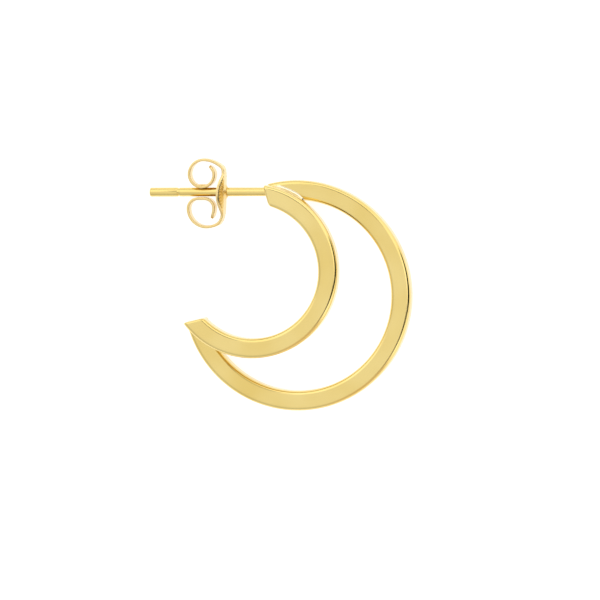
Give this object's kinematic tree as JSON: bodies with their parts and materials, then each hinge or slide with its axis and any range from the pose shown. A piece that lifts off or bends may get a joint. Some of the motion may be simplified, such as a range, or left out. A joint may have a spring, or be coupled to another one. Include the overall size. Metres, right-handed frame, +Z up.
{
  "type": "double hoop earring with butterfly clutch",
  "caption": "Crescent-shaped hoop earring: a small open ring soldered on a larger one, with an ear post and a sliding butterfly clutch.",
  "frame": {"origin": "middle of the bottom of the box that the whole earring fills as it lies on its side", "axes": "+X along the ear post from its free end to the hoops, +Z up from the table, along the depth of the hoops, and +Y from the hoops' lower ends to the post"},
  "size_m": [0.0228, 0.022, 0.0036],
  "materials": {
    "hoop_gold": "mirror-polished yellow gold plate on silver",
    "clutch_gold": "barrel-polished yellow gold plate on silver sheet"
  },
  "bodies": {
    "earring": {"double_hoop": "hoop_gold"},
    "clutch": {"butterfly_clutch": "clutch_gold"}
  },
  "joints": [
    {"name": "clutch_slide", "type": "slide", "parent": "earring", "child": "clutch", "axis": [-1, 0, 0], "range_m": [-0.0034, 0.0068]}
  ]
}
